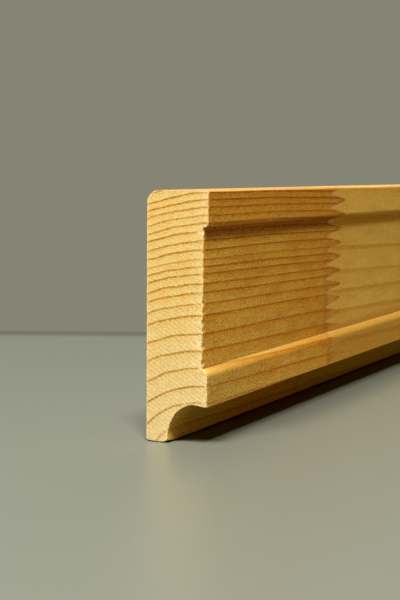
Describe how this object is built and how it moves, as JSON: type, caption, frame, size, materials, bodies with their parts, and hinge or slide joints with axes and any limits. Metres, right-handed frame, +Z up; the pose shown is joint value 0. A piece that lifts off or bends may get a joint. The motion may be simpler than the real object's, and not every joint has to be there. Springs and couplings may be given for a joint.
{
  "type": "skirting board",
  "caption": "Short length of moulded pine skirting board, finger-jointed from end to end, with flat bands, a sunk panel, an ovolo and a cove at the thin edge.",
  "frame": {"origin": "centre of the flat wall face", "axes": "+X along the length, from the sawn near end to the far end; +Y out of the wall face, into the wall; +Z up as it stands in the picture, from the thin edge to the thick edge"},
  "size_m": [0.2, 0.015, 0.056],
  "materials": {
    "near_pine": "planed bare pine, honey brown with dark growth rings; sawn end grain",
    "far_pine": "planed bare pine, paler and plainer, with faint growth rings"
  },
  "bodies": {
    "root": {"near_length": "near_pine", "far_length": "far_pine"}
  },
  "joints": []
}
